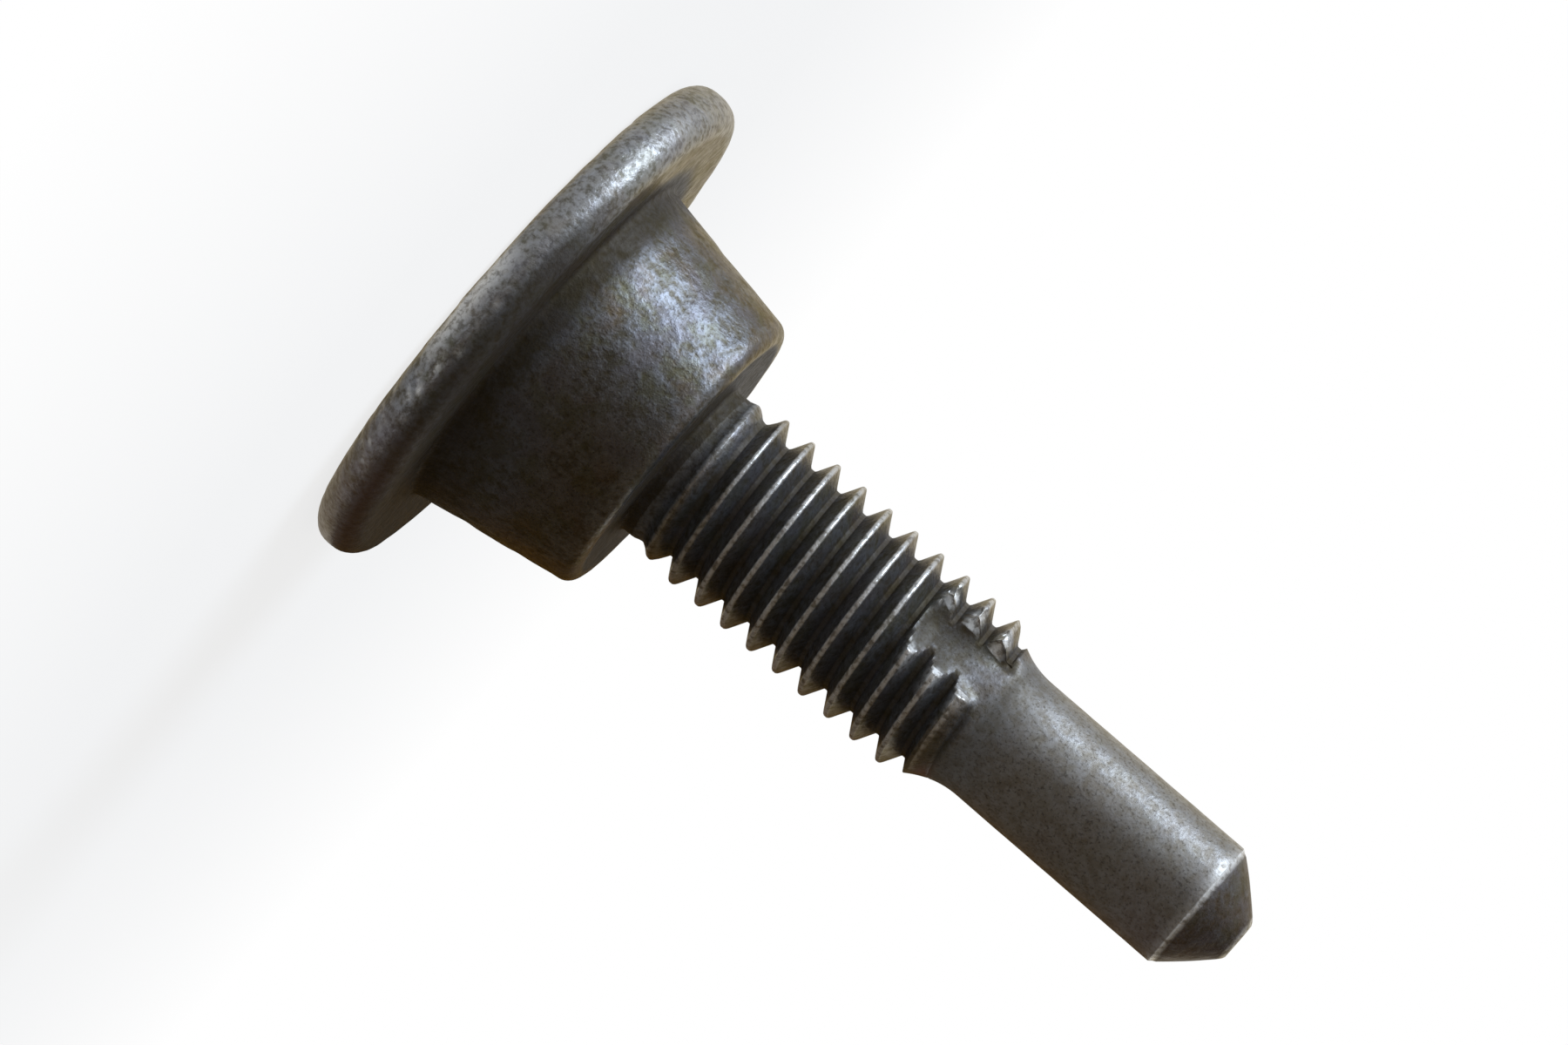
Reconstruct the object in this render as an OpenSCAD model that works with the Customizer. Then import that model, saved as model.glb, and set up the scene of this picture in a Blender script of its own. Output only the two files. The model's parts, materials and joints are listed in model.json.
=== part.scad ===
// Flanged shoulder screw, cold headed and thread rolled in one piece.
// A round flange head with a six-lobe drive socket, a tapered shoulder, a metric thread
// with a cutting flute across its leading turns, and a long pilot with a cone point.
// The screw stands on its head: z = 0 is the outer face of the flange, and +Z runs along
// the axis to the point. The flute faces -Y.

/* [Flange head] */
// Diameter of the flange
flange_d = 17.4; // [15:0.05:20]
// Thickness of the flange
flange_t = 1.65; // [1.55:0.05:2.5]
// Radius on both edges of the flange's rim
rim_r = 0.75; // [0.2:0.05:0.75]
// Fillet between the flange and the shoulder
root_fillet = 0.2; // [0.1:0.05:0.5]

/* [Drive socket] */
// Size of the socket across its lobes
socket_d = 5.6; // [5:0.05:6.2]
// Size of the socket across the ribs between its lobes
socket_rib_d = 4; // [3.7:0.05:4.2]
// Radius of each lobe
socket_lobe_r = 0.46; // [0.4:0.02:0.55]
// Depth of the socket's walls
socket_depth = 2.8; // [1.5:0.1:4]
// Width of the countersink's edge outside the lobes
socket_mouth = 0.2; // [0.1:0.05:0.5]
// Slope of the countersink at the socket's mouth, in degrees
socket_mouth_slope = 20; // [10:1:40]
// Slope of the cone at the socket's bottom, in degrees
socket_floor_slope = 30; // [10:1:40]

/* [Shoulder] */
// Diameter of the shoulder at the flange
shoulder_d = 11.65; // [10.5:0.05:13]
// Diameter of the shoulder at its end face
shoulder_end_d = 9.8; // [8.5:0.05:10.4]
// Length of the shoulder
shoulder_len = 5.3; // [4.5:0.1:12]
// Radius on the edge of the end face
shoulder_edge_r = 0.5; // [0.2:0.05:0.8]

/* [Thread] */
// Major diameter of the thread
thread_d = 5.85; // [5.8:0.01:6]
// Pitch of the thread
pitch = 1; // [0.75:0.05:1]
// Length from the shoulder's end face to the last crest
thread_len = 11.4; // [8:0.1:30]
// Diameter of the blank between the shoulder and the first crest
blank_d = 5.25; // [5:0.05:5.4]
// Plain length between the shoulder and the thread
thread_relief = 0.4; // [0.2:0.05:1]

/* [Thread-cutting flute] */
// Width of the flute's floor
flute_w = 1.45; // [0.8:0.05:1.8]
// Length of the flute, back from the last crest
flute_len = 3.1; // [1.5:0.1:6]
// Lean of the cutting face out from the floor's edge, in degrees
flute_face_lean = 15; // [0:1:30]
// Lean of the ramp on the flute's other side, in degrees
flute_ramp_lean = 58; // [20:1:65]
// Radius of the floor's rise at the flute's inner end
flute_end_r = 1; // [0.9:0.05:2]
// Height of the flute's floor above the pilot's surface
flute_clearance = 0.03; // [0.02:0.01:0.1]

/* [Pilot point] */
// Diameter of the pilot
pilot_d = 4.3; // [3.6:0.05:4.4]
// Length of the pilot's straight wall
pilot_len = 7.4; // [3:0.1:15]
// Length over which the thread runs out into the pilot
runout_len = 1.2; // [0.8:0.1:2]
// Length of the cone point
tip_len = 1.6; // [0.8:0.1:2.5]
// Diameter of the flat at the end of the cone
tip_d = 1.3; // [0.6:0.1:2.5]

/* [Hidden] */
$fn = 96;

steel = [0.27, 0.26, 0.25];
fillet_steps = 6;
socket_arc_steps = 5;
runout_steps = 6;

// Stations along the axis
shoulder_end_z = flange_t + shoulder_len;
thread_z = shoulder_end_z + thread_relief;
last_crest_z = shoulder_end_z + thread_len;
pilot_z = last_crest_z + runout_len;
pilot_end_z = pilot_z + pilot_len;
tip_z = pilot_end_z + tip_len;

// Radii
flange_r = flange_d / 2;
shoulder_r = shoulder_d / 2;
shoulder_end_r = shoulder_end_d / 2;
thread_r = thread_d / 2;
blank_r = blank_d / 2;
pilot_r = pilot_d / 2;
tip_r = tip_d / 2;

// Metric thread form: 60 degree flanks, a flat crest of an eighth of the pitch, and a depth of
// 17/24 of the sharp V's height
flank_half_angle = 30;
sharp_depth = pitch / (2 * tan(flank_half_angle));
thread_depth = sharp_depth * 17 / 24;
root_r = thread_r - thread_depth;
crest_half = 1 / 16;
flank_foot = crest_half + thread_depth * tan(flank_half_angle) / pitch;
turn_steps = 48;

// The thread grows out of the blank over its first turns, and its crests sink to the pilot
// along a slightly hollow curve that starts a turn before the last crest.
grow_turns = 1.3;
first_crest_turns = 0.7;
grow_len = grow_turns * pitch;
first_crest_z = thread_z + first_crest_turns * pitch;
sink_z = last_crest_z - pitch;
sink_power = 1.1;

// The threaded length reaches into the shoulder, and it ends part way down the hollow curve,
// where the curve is below the thread's root and still outside the pilot. The rest of the curve
// starts a little inside that end.
thread_bite = pitch / 2;
runout_share = 0.8;
thread_foot_z = shoulder_end_z - thread_bite;
thread_cap_r = (root_r + pilot_r) / 2;
thread_cap_z = pilot_z - (pilot_z - sink_z) * sunk_share(thread_cap_r);

function sunk_share(r) = pow((r - pilot_r) / (thread_r - pilot_r), 1 / sink_power);
function clamp(v, low, high) = min(max(v, low), high);

// Radius of the hollow curve at height z
function sink_r(z) =
    pilot_r + (thread_r - pilot_r) * pow(clamp((pilot_z - z) / (pilot_z - sink_z), 0, 1), sink_power);

// Points of an arc, from one angle to the other
function arc(x, y, r, from, to, steps) =
    [for (i = [0:steps]) let (a = from + (to - from) * i / steps) [x + r * cos(a), y + r * sin(a)]];

// Head and shoulder, turned from one profile

taper = atan((shoulder_r - shoulder_end_r) / shoulder_len);
fillet_out = root_fillet * tan((90 - taper) / 2);
edge_in = shoulder_edge_r * (1 / cos(taper) - tan(taper));

module head_and_shoulder() {
    rotate_extrude()
        polygon(concat(
            [[0, 0]],
            arc(flange_r - rim_r, rim_r, rim_r, -90, 0, fillet_steps),
            arc(flange_r - rim_r, flange_t - rim_r, rim_r, 0, 90, fillet_steps),
            arc(shoulder_r + fillet_out, flange_t + root_fillet, root_fillet, 270, 180 + taper, fillet_steps),
            arc(shoulder_end_r - edge_in, shoulder_end_z - shoulder_edge_r, shoulder_edge_r, taper, 90,
                fillet_steps),
            [[0, shoulder_end_z]]
        ));
}

// Six-lobe drive socket: round lobes joined by round ribs that are tangent to them

lobe_at = socket_d / 2 - socket_lobe_r;
rib_edge = socket_rib_d / 2;
rib_r = (pow(lobe_at, 2) + pow(rib_edge, 2) - 2 * lobe_at * rib_edge * cos(30) - pow(socket_lobe_r, 2))
    / (2 * (socket_lobe_r + lobe_at * cos(30) - rib_edge));
rib_at = rib_edge + rib_r;
lobe_sweep = atan2(rib_at * sin(30), rib_at * cos(30) - lobe_at);
rib_sweep = lobe_sweep - 30;

module six_lobe_outline() {
    polygon([
        for (turn = [0:60:300])
            each concat(
                arc(lobe_at * cos(turn), lobe_at * sin(turn), socket_lobe_r,
                    turn - lobe_sweep, turn + lobe_sweep, 2 * socket_arc_steps),
                arc(rib_at * cos(turn + 30), rib_at * sin(turn + 30), rib_r,
                    turn + 210 + rib_sweep, turn + 210 - rib_sweep, 2 * socket_arc_steps)
            )
    ]);
}

module drive_socket() {
    mouth_r = socket_d / 2 + socket_mouth;
    floor_r = rib_edge - socket_mouth;
    translate([0, 0, -socket_depth])
        linear_extrude(2 * socket_depth)
            six_lobe_outline();
    cylinder(r1 = mouth_r, r2 = 0, h = mouth_r * tan(socket_mouth_slope));
    // Cone left by the punch at the bottom
    translate([0, 0, socket_depth])
        cylinder(r1 = floor_r, r2 = 0, h = floor_r * tan(socket_floor_slope));
}

// Threaded shank: one closed skin whose rows of points follow the helix

// Each turn has four rows: the foot of a flank, both edges of the crest, and the next foot.
row_place = [-flank_foot, -crest_half, crest_half, flank_foot];
row_r = [root_r, thread_r, thread_r, root_r];
rows_per_turn = len(row_place);
turns_before = ceil((first_crest_z - thread_foot_z) / pitch) + 1;
turns = turns_before + ceil((thread_cap_z - first_crest_z) / pitch) + 2;
rows = rows_per_turn * turns;

function helix_z(column, row) =
    first_crest_z + pitch * (floor(row / rows_per_turn) - turns_before
        + row_place[row % rows_per_turn] + column / turn_steps);

function thread_point_r(row, z) =
    let (grown = clamp((z - thread_z) / grow_len, 0, 1))
    min(blank_r + (row_r[row % rows_per_turn] - blank_r) * grown, sink_r(z));

function thread_point(column, row) =
    let (
        z = clamp(helix_z(column, row), thread_foot_z, thread_cap_z),
        r = z == thread_cap_z ? thread_cap_r : thread_point_r(row, z),
        a = 360 * column / turn_steps
    )
    [r * cos(a), r * sin(a), z];

// The last column joins the first one a turn further up.
function point_index(column, row) =
    column < turn_steps ? column * (rows + 1) + row : row + rows_per_turn;

module threaded_shank() {
    points = [for (c = [0:turn_steps - 1], r = [0:rows]) thread_point(c, r)];
    sides = [
        for (c = [0:turn_steps - 1], r = [0:(c < turn_steps - 1 ? rows : rows - rows_per_turn) - 1])
            let (
                a = point_index(c, r),
                b = point_index(c + 1, r),
                d = point_index(c + 1, r + 1),
                e = point_index(c, r + 1)
            )
            each [[a, d, b], [a, e, d]]
    ];
    // Rows that are held at either end fold up, so only true triangles are kept.
    true_sides = [
        for (f = sides)
            let (p = points[f[0]], q = points[f[1]], s = points[f[2]])
            if (p != q && q != s && s != p) f
    ];
    foot = [for (c = [0:turn_steps - 1]) point_index(c, 0)];
    cap = [for (c = [turn_steps - 1:-1:0]) point_index(c, rows)];
    polyhedron(points, concat(true_sides, [foot, cap]), convexity = 10);
}

// Pilot: the rest of the hollow curve, the straight wall and the cone point

module pilot_point() {
    rotate_extrude()
        polygon(concat(
            [[0, thread_cap_z - thread_bite]],
            [for (i = [0:runout_steps])
                let (z = thread_cap_z + (pilot_z - thread_cap_z) * i / runout_steps)
                [pilot_r + runout_share * (sink_r(z) - pilot_r), z]],
            [[pilot_r, pilot_end_z], [tip_r, tip_z], [0, tip_z]]
        ));
}

// Flute: a straight channel with a steep cutting face on one side and a ramp on the other,
// whose floor rises in a round at its inner end

flute_floor = pilot_r + flute_clearance;
flute_top = thread_r + flute_end_r;
flute_reach = 2 * flute_top;
flute_inner_z = last_crest_z - flute_len;
flute_round_at = flute_floor + flute_end_r;
flute_round_z = flute_inner_z + sqrt(pow(flute_end_r, 2) - pow(flute_round_at - thread_r, 2));

module flute() {
    rise = flute_top - flute_floor;
    intersection() {
        translate([0, 0, flute_inner_z - flute_end_r])
            linear_extrude(pilot_z - flute_inner_z + 2 * flute_end_r)
                polygon([
                    [-flute_w / 2, -flute_floor],
                    [-flute_w / 2 - rise * tan(flute_face_lean), -flute_top],
                    [flute_w / 2 + rise * tan(flute_ramp_lean), -flute_top],
                    [flute_w / 2, -flute_floor]
                ]);
        rotate([90, 0, 90])
            linear_extrude(2 * flute_reach, center = true)
                polygon(concat(
                    [[-flute_reach, flute_round_z - flute_end_r]],
                    arc(-flute_round_at, flute_round_z, flute_end_r, 270, 360, fillet_steps),
                    [[-flute_floor, pilot_end_z], [-flute_reach, pilot_end_z]]
                ));
    }
}

module screw() {
    color(steel)
        difference() {
            union() {
                head_and_shoulder();
                threaded_shank();
                pilot_point();
            }
            drive_socket();
            flute();
        }
}

screw();
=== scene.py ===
"""Looks of a flanged shoulder screw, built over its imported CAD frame.

The screw is one cold-headed piece with a rolled thread and a dark phosphate coat. It stands on its
head, so +Z runs along its axis from the head to the point.
"""

import json
import math
import random

import bmesh
import bpy
import numpy as np
from bpy.props import FloatProperty, FloatVectorProperty, PointerProperty
from mathutils import Matrix, Vector, noise


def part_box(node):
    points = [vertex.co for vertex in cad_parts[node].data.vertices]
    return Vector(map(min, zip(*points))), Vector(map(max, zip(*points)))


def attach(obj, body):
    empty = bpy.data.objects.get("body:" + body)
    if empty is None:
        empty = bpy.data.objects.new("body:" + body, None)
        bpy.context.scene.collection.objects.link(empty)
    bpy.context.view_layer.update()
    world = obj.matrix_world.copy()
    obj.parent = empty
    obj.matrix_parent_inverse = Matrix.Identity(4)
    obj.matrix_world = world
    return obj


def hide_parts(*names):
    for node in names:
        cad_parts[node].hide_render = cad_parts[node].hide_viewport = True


bl_info = {
    "name": "Flanged Shoulder Screw",
    "version": (1, 0, 0),
    "blender": (4, 5, 0),
    "location": "View3D > Sidebar > Screw",
    "description": "Builds a phosphated flange-head shoulder screw and a plain stage for it",
    "category": "Add Mesh",
}

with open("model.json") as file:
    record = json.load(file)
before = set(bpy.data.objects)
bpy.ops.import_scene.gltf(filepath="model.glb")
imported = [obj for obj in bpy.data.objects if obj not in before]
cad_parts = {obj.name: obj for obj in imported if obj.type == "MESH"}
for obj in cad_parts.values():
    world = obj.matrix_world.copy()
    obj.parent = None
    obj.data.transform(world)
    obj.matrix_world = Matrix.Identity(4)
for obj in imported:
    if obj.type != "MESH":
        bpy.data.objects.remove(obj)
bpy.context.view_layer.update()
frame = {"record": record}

MM = 0.001
TURN = 2 * math.pi
CAD_NODE = "screw"
CAD_LOW, CAD_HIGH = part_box(CAD_NODE)
MOUNTS = {mount["name"]: mount for mount in frame["record"]["mounts"]}


def hex_to_linear(code):
    """Turn an sRGB hex colour, such as #3a3733, into linear red, green and blue."""
    channels = [int(code[i:i + 2], 16) / 255 for i in (1, 3, 5)]
    return tuple(c / 12.92 if c <= 0.04045 else ((c + 0.055) / 1.055) ** 2.4 for c in channels)


def length(name, description, default):
    """A length in metres that a user may change."""
    return FloatProperty(name=name, description=description, default=default, min=0.0,
                         unit="LENGTH", precision=5)


def angle(name, description, degrees):
    """An angle that a user may change."""
    return FloatProperty(name=name, description=description, default=math.radians(degrees),
                         subtype="ANGLE")


def colour(name, description, code):
    """A linear colour that a user may change, written as sRGB hex."""
    return FloatVectorProperty(name=name, description=description, default=hex_to_linear(code),
                               subtype="COLOR", size=3, min=0.0, max=1.0)


class ScrewSizes(bpy.types.PropertyGroup):
    """Sizes of the screw, in metres, with the frame's own where it states them"""

    flange_d: length("Flange", "Diameter of the flange", CAD_HIGH.x - CAD_LOW.x)
    flange_t: length("Flange thickness", "From the head's outer face to the flange's underside",
                     MOUNTS["flange_seat"]["pos_m"][2])
    rim_r: length("Rim", "Radius on both edges of the flange's rim", 0.75 * MM)
    root_fillet: length("Root fillet", "Fillet between the flange and the shoulder", 0.2 * MM)
    socket_d: length("Socket", "Size of the drive socket across its lobes", 5.6 * MM)
    socket_rib_d: length("Socket ribs", "Size of the socket across its ribs", 4.0 * MM)
    socket_lobe_r: length("Socket lobes", "Radius of each lobe", 0.46 * MM)
    socket_depth: length("Socket depth", "Depth of the socket's walls",
                         MOUNTS["drive_socket"]["dims"]["length_mm"] * MM)
    socket_mouth: length("Socket mouth", "Width of the countersink outside the lobes", 0.2 * MM)
    socket_mouth_slope: angle("Mouth slope", "Slope of the countersink", 20)
    socket_floor_slope: angle("Floor slope", "Slope of the cone at the socket's bottom", 30)
    shoulder_d: length("Shoulder", "Diameter of the shoulder at the flange", 11.65 * MM)
    shoulder_end_d: length("Shoulder end", "Diameter of the shoulder at its end face", 9.8 * MM)
    shoulder_end_z: length("Shoulder end height", "Height of the shoulder's end face",
                           MOUNTS["shoulder_seat"]["pos_m"][2])
    shoulder_edge_r: length("Shoulder edge", "Radius on the edge of the end face", 0.5 * MM)
    thread_d: length("Thread", "Major diameter of the thread",
                     2 * MOUNTS["thread"]["dims"]["r_mm"] * MM)
    thread_len: length("Thread length", "From the shoulder's end face to the last crest",
                       MOUNTS["thread"]["dims"]["length_mm"] * MM)
    pitch: length("Pitch", "Pitch of the right-hand thread", 1.0 * MM)
    blank_d: length("Blank", "Diameter of the blank under the first crest", 5.25 * MM)
    thread_relief: length("Relief", "Plain length between the shoulder and the thread", 0.4 * MM)
    flute_w: length("Flute", "Width of the flute's floor", 1.45 * MM)
    flute_len: length("Flute length", "Length of the flute, back from the last crest", 3.1 * MM)
    flute_face_lean: angle("Cutting face", "Lean of the flute's cutting face", 15)
    flute_ramp_lean: angle("Ramp", "Lean of the ramp on the flute's other side", 58)
    flute_end_r: length("Flute end", "Radius of the floor's rise at its inner end", 1.0 * MM)
    flute_clearance: length("Flute floor", "Height of the flute's floor above the pilot", 0.03 * MM)
    pilot_d: length("Pilot", "Diameter of the pilot", 2 * MOUNTS["pilot"]["dims"]["r_mm"] * MM)
    pilot_len: length("Pilot length", "Length of the pilot's straight wall",
                      MOUNTS["pilot"]["dims"]["length_mm"] * MM)
    tip_z: length("Height", "Height of the screw on its head", CAD_HIGH.z)
    tip_len: length("Point", "Length of the cone point", 1.6 * MM)
    tip_d: length("Point flat", "Diameter of the flat at the end of the cone", 1.3 * MM)


class ScrewFinish(bpy.types.PropertyGroup):
    """Colours and wear of the screw"""

    coat_dark: colour("Coat, dark", "Dark crystals of the phosphate coat", "#464238")
    coat_pale: colour("Coat, pale", "Pale crystals of the phosphate coat", "#65686e")
    coat_brown: colour("Coat, brown", "Brown patches of the coat", "#4f3f2b")
    coat_violet: colour("Coat, violet", "Violet grey patches of the coat", "#5a5960")
    coat_olive: colour("Coat, olive", "Olive patches of the coat", "#4d4d39")
    thin_dark: colour("Thin coat, dark", "Dark crystals on the pilot and the flute", "#79746c")
    thin_pale: colour("Thin coat, pale", "Pale crystals on the pilot and the flute", "#8c8b89")
    bare_steel: colour("Bare steel", "Steel worn bright on crests and edges", "#d4d3d0")
    # The oil colour also serves as painted shade, in corners and valleys, on the shoulder's end face and on
    # the side away from the key light.
    oil: colour("Oil", "Old oil and dirt in valleys and corners", "#221909")
    speck: colour("Specks", "Dark pits between the crystals", "#2a2319")
    rust: colour("Rust", "Rust at the thread's last turn, the rim and the point", "#5c301b")
    edge_tint: colour("Glancing tint", "Tint of the coat at glancing angles", "#f6e3b8")
    grain: length("Grain", "Size of the coat's crystals", 0.2 * MM)
    relief: length("Coat relief", "Height of the coat's crystals", 0.023 * MM)


class StageLook(bpy.types.PropertyGroup):
    """The floor, the light and the camera"""

    floor: colour("Floor", "Colour of the pale floor", "#f4f3f1")
    board: colour("Board", "Colour of the wooden board that the shaded side reflects", "#8e6a28")
    key: colour("Key light", "Colour of the soft key light", "#dcebff")
    key_power: FloatProperty(name="Key power", description="Power of the key light", default=2.0,
                             min=0.0, unit="POWER")
    room_level: FloatProperty(name="Room light", description="Level of the room's scattered light",
                              default=0.3, min=0.0)
    azimuth: angle("Azimuth", "Camera's angle round the axis, from the flute", 30)
    elevation: angle("Elevation", "Camera's angle above the head's plane", 4.45)
    roll: angle("Roll", "How far the screw's axis points down from the picture's right", 40.81)
    distance: length("Distance", "From the camera to the screw", 250 * MM)
    aim_along: length("Aim along", "Picture's centre along the axis, from the head", 10.46 * MM)
    aim_up: length("Aim up", "Picture's centre above the axis", 0.59 * MM)
    lens: FloatProperty(name="Lens", description="Focal length on a 36 mm sensor", default=195.3,
                        min=1.0, unit="CAMERA")


# Form of the screw

FLUTE_ANGLE = -math.pi / 2
SHARP_V_SHARE = 17 / 24
FLANK_HALF_ANGLE = math.radians(30)
CREST_HALF = 1 / 16
CREST_ROUND = 0.035
GROW_TURNS = 1.3
FIRST_CREST_TURNS = 0.7
SINK_TURNS = 0.75
SINK_POWER = 2.15
RUNOUT_SHARE = 0.85
OPEN_TURNS = 1.6
OPEN_DEPTH = 0.3 * MM
MOUTH_TURN = math.radians(6)
MOUTH_HALF = math.radians(50)
MOUTH_DEPTH = 0.35 * MM
MOUTH_START = -0.35 * MM
MOUTH_FULL = 0.05 * MM

# Rows of the thread's section, in pitches from the crest
SECTION_PLACES = (0.0, 0.04, 0.07, 0.1, 0.2, 0.33, 0.38, 0.43)

HEAD_COLUMNS = 336
SHANK_COLUMNS = 170
FACE_HOLLOW = 1.15
RAMP_HOLLOW = 2.4
RAMP_END = math.radians(27)
FLUTE_STEP = math.radians(0.7)
FLUTE_REACH = math.radians(34)
BLEND_WIDTH = 0.25 * MM

# Where the flange is fuller, which is also the side the key light comes from, so shade is painted on the far
# side of it; and where the rust, scuff and torn marks are
FULL_AND_LIT_SIDE = math.radians(210)
RUST_TURN = math.radians(105)
RUST_HALF = math.radians(16)
RUST_LEN = 0.22 * MM
RIM_RUST_TURN = math.radians(14)
RIM_WEAR_TURN = math.radians(304)
TORN_TURN = math.radians(24)


def smooth(x, low, high):
    """Rise smoothly from 0 at low to 1 at high."""
    t = np.clip((x - low) / (high - low), 0, 1)
    return t * t * (3 - 2 * t)


def soft_min(a, b, width):
    """The smaller of two values, with the corner between them rounded over a width."""
    near = np.clip(1 - np.abs(a - b) / width, 0, None)
    return np.minimum(a, b) - near ** 2 * width / 4


def arc(x, y, r, start, end, steps):
    """Points of an arc between two angles in degrees."""
    turns = np.radians(np.linspace(start, end, steps + 1))
    return [(x + r * math.cos(a), y + r * math.sin(a)) for a in turns]


class Form:
    """Stations and radii worked out from the sizes."""

    def __init__(self, sizes):
        self.s = sizes
        self.thread_z = sizes.shoulder_end_z + sizes.thread_relief
        self.last_crest_z = sizes.shoulder_end_z + sizes.thread_len
        self.pilot_end_z = sizes.tip_z - sizes.tip_len
        self.pilot_z = self.pilot_end_z - sizes.pilot_len
        self.first_crest_z = self.thread_z + FIRST_CREST_TURNS * sizes.pitch
        self.sink_z = self.last_crest_z - SINK_TURNS * sizes.pitch
        self.thread_r = sizes.thread_d / 2
        self.pilot_r = sizes.pilot_d / 2
        self.blank_r = sizes.blank_d / 2
        sharp_depth = sizes.pitch / (2 * math.tan(FLANK_HALF_ANGLE))
        self.depth = sharp_depth * SHARP_V_SHARE
        self.flank_foot = CREST_HALF + self.depth * math.tan(FLANK_HALF_ANGLE) / sizes.pitch
        self.root_r = self.thread_r - self.depth
        self.cap_r = (self.root_r + self.pilot_r) / 2
        share = ((self.cap_r - self.pilot_r) / (self.thread_r - self.pilot_r)) ** (1 / SINK_POWER)
        self.cap_z = self.pilot_z - (self.pilot_z - self.sink_z) * share
        self.flute_floor = self.pilot_r + sizes.flute_clearance
        self.flute_round_at = self.flute_floor + sizes.flute_end_r
        reach = math.sqrt(sizes.flute_end_r ** 2 - (self.flute_round_at - self.thread_r) ** 2)
        self.flute_round_z = self.last_crest_z - sizes.flute_len + reach
        middle = (self.flute_floor + self.thread_r) / 2
        half = sizes.flute_w / 2 + (middle - self.flute_floor) * math.tan(sizes.flute_face_lean)
        self.face_turn = math.asin(half / middle)

    def section_depth(self, place):
        """Depth below the crest, as a share, at a place in pitches from it. Its corners are round."""
        def area(x):
            return np.where(x < 0, 0, np.where(x < 1, x * x / 2, x - 0.5))
        width = self.flank_foot - CREST_HALF
        away = np.abs(place)
        ends = [area((away + side - CREST_HALF) / width) for side in (CREST_ROUND, -CREST_ROUND)]
        return (ends[0] - ends[1]) * width / (2 * CREST_ROUND)

    def sink_r(self, z):
        """Radius of the hollow curve along which the crests sink to the pilot."""
        share = np.clip((self.pilot_z - z) / (self.pilot_z - self.sink_z), 0, 1)
        return self.pilot_r + (self.thread_r - self.pilot_r) * share ** SINK_POWER

    def crest_z(self, turn, back):
        """Height of a crest at an angle, counted back from the last one."""
        start = self.first_crest_z + self.s.pitch * turn / TURN
        return start + self.s.pitch * (math.floor((self.last_crest_z - start) / self.s.pitch) - back)

    def run_out_oil(self, z):
        """Share of the oil colour on the run-out: most at the last crest, none from one and a half pitches
        along the pilot.
        """
        return 0.62 * smooth(z, self.pilot_z + 1.5 * self.s.pitch, self.last_crest_z)

    def from_flute(self, turns):
        """Angles from the flute's middle, from minus half a turn to half a turn."""
        return (turns - FLUTE_ANGLE + math.pi) % TURN - math.pi

    def flute_cut_r(self, from_flute, z):
        """Radius at which the flute cuts the screw, well clear of it outside the flute.

        Past the last crest the flute opens into a wide shallow mouth that runs out on the pilot.
        """
        s = self.s
        before = np.clip(self.flute_round_z - z, 0, None)
        reach = np.sqrt(np.clip(s.flute_end_r ** 2 - before ** 2, 0, None))
        floor = np.where(before < s.flute_end_r, self.flute_round_at - reach, np.inf)
        lean = math.tan(s.flute_ramp_lean)
        ramp_way = np.cos(from_flute) * lean - np.sin(from_flute)
        ramp = (floor * lean - s.flute_w / 2) / np.maximum(ramp_way, 1e-6)
        hollow = np.where(from_flute > 0, RAMP_HOLLOW, FACE_HOLLOW) * MM
        squared = np.maximum(np.sin(from_flute) ** 2, 1e-9)
        left = np.cos(from_flute) ** 2 - 2 * squared * floor / hollow
        hollow_floor = (np.cos(from_flute) - np.sqrt(np.clip(left, 0, None))) * hollow / squared
        hollow_floor = np.where(left > 0, hollow_floor, np.inf)
        cut = np.maximum(hollow_floor, np.where(from_flute > 0, ramp, 0))
        opened = smooth(z, self.last_crest_z - OPEN_TURNS * s.pitch, self.last_crest_z)
        cut = cut - opened * OPEN_DEPTH * np.tanh((cut - self.flute_floor) / OPEN_DEPTH)
        inside = (from_flute > -self.face_turn) & (from_flute < s.flute_ramp_lean)
        cut = np.minimum(np.where(inside, cut, np.inf), 2 * self.thread_r)
        rise = smooth(z, self.last_crest_z + 0.2 * MM, self.pilot_z)
        across = (from_flute - MOUTH_TURN) / MOUTH_HALF
        mouth = self.flute_floor + MOUTH_DEPTH * (across ** 2 + rise)
        opened = smooth(z, self.last_crest_z + MOUTH_START, self.last_crest_z + MOUTH_FULL)
        return cut + (mouth - cut) * opened

    def head_turns(self):
        """Angles of the skin's columns on the head and the shoulder."""
        return np.arange(HEAD_COLUMNS) * TURN / HEAD_COLUMNS

    def shank_turns(self):
        """Angles of the skin's columns on the shank, close together across the flute."""
        edge = math.radians(0.08)
        fine = np.arange(-self.face_turn + FLUTE_STEP, FLUTE_REACH, FLUTE_STEP)
        outer = np.linspace(FLUTE_REACH, TURN - self.face_turn - TURN / SHANK_COLUMNS, SHANK_COLUMNS)
        turns = np.concatenate([[-self.face_turn - edge, -self.face_turn + edge], fine, outer])
        return np.sort((turns + FLUTE_ANGLE) % TURN)


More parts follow.
